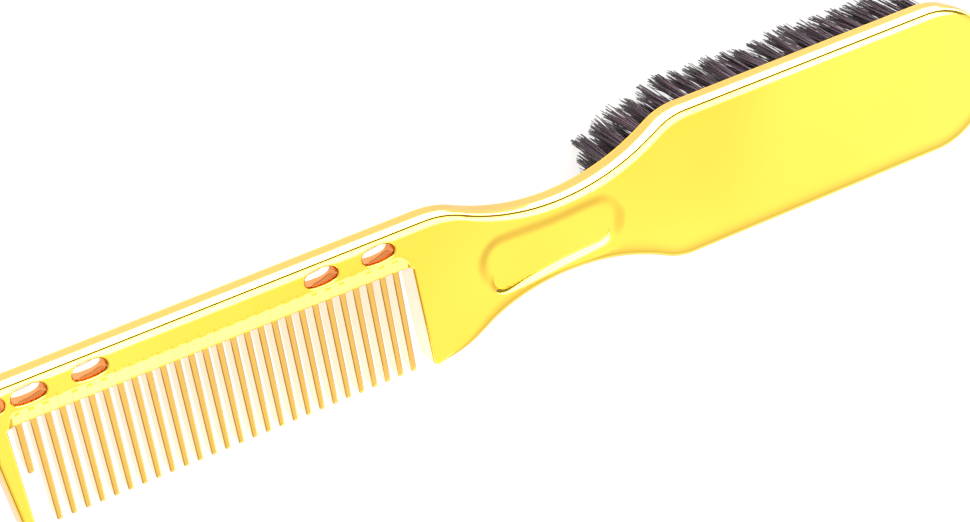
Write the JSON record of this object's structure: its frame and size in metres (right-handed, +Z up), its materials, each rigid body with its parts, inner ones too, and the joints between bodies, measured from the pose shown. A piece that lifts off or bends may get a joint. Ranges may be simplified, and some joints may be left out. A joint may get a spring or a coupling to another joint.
{
  "type": "beard comb and brush",
  "caption": "Two-ended beard tool in gold plated plastic: a toothed comb, a waisted grip with a thumb recess, and a flat brush head of black bristle tufts under a smooth back.",
  "frame": {"origin": "on the surface that the bristle tips rest on, under the middle of the tool's length and width", "axes": "+X from the comb to the brush head, +Y from the tooth tips to the comb's spine, +Z up, from the bristle tips to the smooth back"},
  "size_m": [0.2374, 0.034, 0.0247],
  "materials": {
    "gold_plating": "ABS with a polished, lacquered gold metal plating",
    "plate_plastic": "black satin plastic",
    "bristle": "black crimped nylon and boar bristle with a soft sheen",
    "anchor_wire": "flattened tin-plated wire"
  },
  "bodies": {
    "root": {"body": "gold_plating", "comb_teeth": "gold_plating", "bristle_plate": "plate_plastic", "tuft_rank_01": "bristle", "tuft_rank_02": "bristle", "tuft_rank_03": "bristle", "tuft_rank_04": "bristle", "tuft_rank_05": "bristle", "tuft_rank_06": "bristle", "tuft_rank_07": "bristle", "tuft_rank_08": "bristle", "tuft_rank_09": "bristle", "tuft_rank_10": "bristle", "tuft_rank_11": "bristle", "tuft_rank_12": "bristle", "tuft_rank_13": "bristle", "tuft_rank_14": "bristle", "tuft_rank_15": "bristle", "tuft_rank_16": "bristle", "tuft_rank_17": "bristle", "tuft_rank_18": "bristle", "tuft_rank_19": "bristle", "tuft_rank_20": "bristle", "tuft_rank_21": "bristle", "tuft_rank_22": "bristle", "anchor_rank_01": "anchor_wire", "anchor_rank_02": "anchor_wire", "anchor_rank_03": "anchor_wire", "anchor_rank_04": "anchor_wire", "anchor_rank_05": "anchor_wire", "anchor_rank_06": "anchor_wire", "anchor_rank_07": "anchor_wire", "anchor_rank_08": "anchor_wire", "anchor_rank_09": "anchor_wire", "anchor_rank_10": "anchor_wire", "anchor_rank_11": "anchor_wire", "anchor_rank_12": "anchor_wire", "anchor_rank_13": "anchor_wire", "anchor_rank_14": "anchor_wire", "anchor_rank_15": "anchor_wire", "anchor_rank_16": "anchor_wire", "anchor_rank_17": "anchor_wire", "anchor_rank_18": "anchor_wire", "anchor_rank_19": "anchor_wire", "anchor_rank_20": "anchor_wire", "anchor_rank_21": "anchor_wire", "anchor_rank_22": "anchor_wire"}
  },
  "joints": []
}
